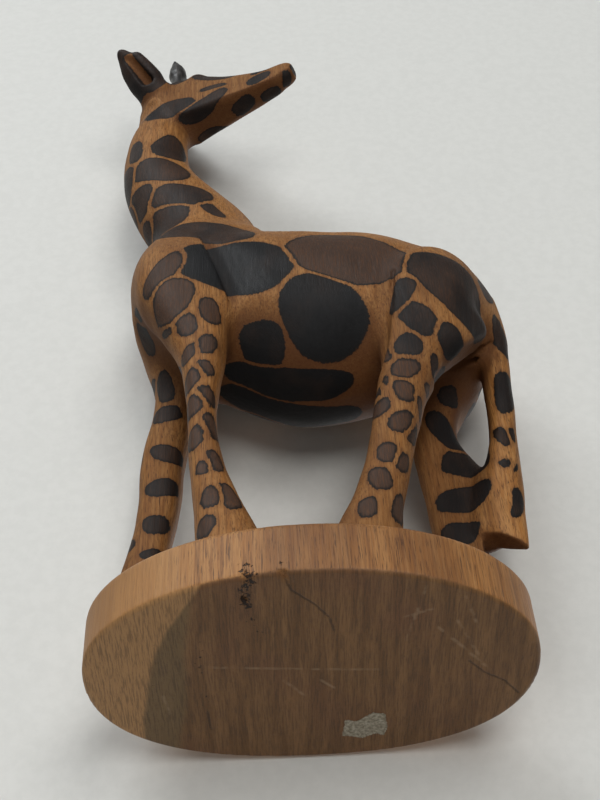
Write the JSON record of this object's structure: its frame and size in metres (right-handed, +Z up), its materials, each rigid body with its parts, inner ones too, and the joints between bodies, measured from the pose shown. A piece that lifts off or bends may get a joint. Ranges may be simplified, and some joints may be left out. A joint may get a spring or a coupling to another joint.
{
  "type": "carved giraffe statue",
  "caption": "Hand-carved spotted wooden giraffe standing on an oval plinth, its head turned back to look over its body",
  "frame": {"origin": "centre of the plinth's underside, on the resting plane", "axes": "+Z up. The giraffe's chest faces -X and its tail +X, and its left side faces -Y. Its head is turned back over its body, so the muzzle points along +X and a little to -Y."},
  "size_m": [0.0962, 0.0546, 0.226],
  "materials": {
    "spotted_wood": "satin oil over dark stain spots",
    "stained_wood": "satin dark stain",
    "base_wood": "bare sanded wood with light oil",
    "paper": "torn matt paper"
  },
  "bodies": {
    "root": {"base": "base_wood", "torso": "spotted_wood", "neck": "spotted_wood", "head": "spotted_wood", "left_ear": "spotted_wood", "right_ear": "spotted_wood", "left_horn": "stained_wood", "right_horn": "stained_wood", "front_left_leg": "spotted_wood", "front_right_leg": "spotted_wood", "hind_left_leg": "spotted_wood", "hind_right_leg": "spotted_wood", "tail": "spotted_wood", "paper_label": "paper"}
  },
  "joints": []
}
